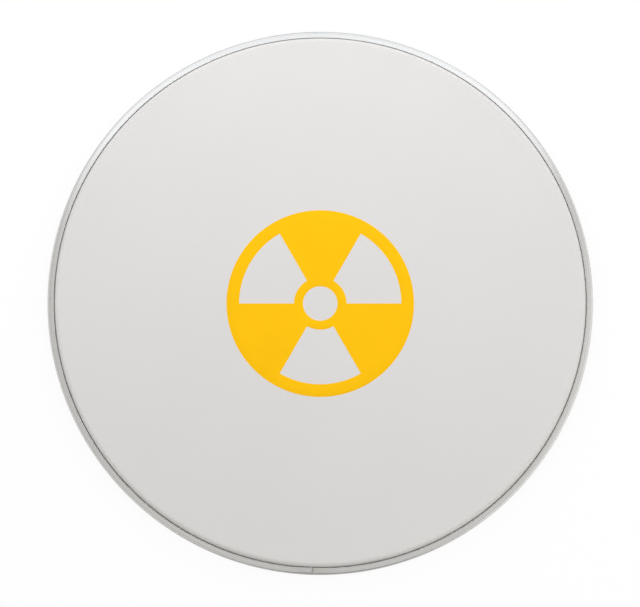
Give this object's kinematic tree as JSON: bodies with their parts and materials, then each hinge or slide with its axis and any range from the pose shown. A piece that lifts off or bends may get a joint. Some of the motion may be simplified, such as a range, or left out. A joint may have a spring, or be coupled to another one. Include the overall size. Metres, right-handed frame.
{
  "type": "drum head",
  "caption": "Round drum head: a flat coated plastic film on a formed collar, locked with wire and resin into a rolled metal flesh hoop, with a printed disc in the middle.",
  "frame": {"origin": "centre of the bottom face of the hoop, on the head's axis", "axes": "+Z along the head's axis, up through the playing side; +Y towards the top of the print, and the hoop's butt joint lies near -Y"},
  "size_m": [0.37, 0.37, 0.0167],
  "materials": {
    "hoop_metal": "rolled, satin",
    "splice_metal": "mill",
    "wire_steel": "drawn",
    "film_plastic": "clear film over the white coating",
    "channel_resin": "cast",
    "coating_white": "sprayed, fine grain",
    "ink_yellow": "screen print"
  },
  "bodies": {
    "root": {"flesh_hoop": "hoop_metal", "joint_splice": "splice_metal", "lock_wire": "wire_steel", "drum_film": "film_plastic", "resin_bead": "channel_resin", "white_coating": "coating_white", "printed_emblem": "ink_yellow"}
  },
  "joints": []
}
